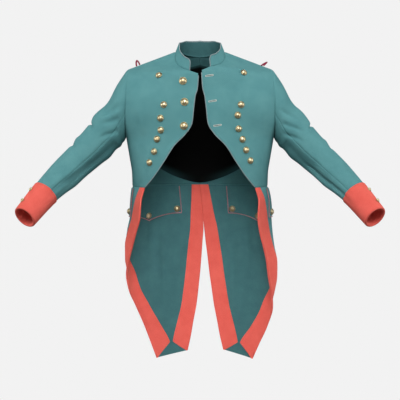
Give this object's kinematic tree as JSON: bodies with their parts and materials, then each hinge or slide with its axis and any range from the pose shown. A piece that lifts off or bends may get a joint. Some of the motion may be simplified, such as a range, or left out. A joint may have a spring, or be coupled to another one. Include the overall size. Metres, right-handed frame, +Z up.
{
  "type": "tailcoat",
  "caption": "Open-fronted military-style tailcoat, cut away to the waist, with standing collar, turned-back facings, pocket flaps and domed buttons, filled out as if worn.",
  "frame": {"origin": "middle of the neck hole, level with the shoulder seams at the neck, where the wearer's shoulders carry the coat", "axes": "+X towards the wearer's left arm, -Y out of the coat's front, +Z up"},
  "size_m": [1.1306, 0.3129, 1.0551],
  "materials": {
    "green_wool": "milled wool broadcloth, matt",
    "scarlet_wool": "milled wool broadcloth, matt",
    "rose_piping": "corded wool edging",
    "black_lining": "twilled cotton lining",
    "crimson_braid": "woven braid",
    "brass": "domed, half-matt"
  },
  "bodies": {
    "root": {"collar": "green_wool", "front_left": "green_wool", "back_left": "green_wool", "sleeve_top_left": "green_wool", "sleeve_under_left": "green_wool", "tail_left": "green_wool", "pocket_flap_left": "green_wool", "front_right": "green_wool", "back_right": "green_wool", "sleeve_top_right": "green_wool", "sleeve_under_right": "green_wool", "tail_right": "green_wool", "pocket_flap_right": "green_wool", "cuff_left": "scarlet_wool", "vent_facing_left": "scarlet_wool", "front_facing_left": "scarlet_wool", "cuff_right": "scarlet_wool", "vent_facing_right": "scarlet_wool", "front_facing_right": "scarlet_wool", "collar_piping": "rose_piping", "front_piping_left": "rose_piping", "flap_piping_left": "rose_piping", "stay_piping_left": "rose_piping", "front_piping_right": "rose_piping", "flap_piping_right": "rose_piping", "stay_piping_right": "rose_piping", "back_lining": "black_lining", "shoulder_loop_left": "crimson_braid", "shoulder_loop_right": "crimson_braid", "closing_button_1": "brass", "closing_button_2": "brass", "closing_button_3": "brass", "row_button_left_1": "brass", "row_button_left_2": "brass", "row_button_left_3": "brass", "row_button_left_4": "brass", "row_button_left_5": "brass", "row_button_left_6": "brass", "row_button_left_7": "brass", "cuff_button_left_1": "brass", "cuff_button_left_2": "brass", "flap_button_left_rear": "brass", "flap_button_left_point": "brass", "flap_button_left_front": "brass", "stay_button_left_rear": "brass", "stay_button_left_point": "brass", "row_button_right_1": "brass", "row_button_right_2": "brass", "row_button_right_3": "brass", "row_button_right_4": "brass", "row_button_right_5": "brass", "row_button_right_6": "brass", "row_button_right_7": "brass", "cuff_button_right_1": "brass", "cuff_button_right_2": "brass", "flap_button_right_rear": "brass", "flap_button_right_point": "brass", "flap_button_right_front": "brass", "stay_button_right_rear": "brass", "stay_button_right_point": "brass"}
  },
  "joints": []
}
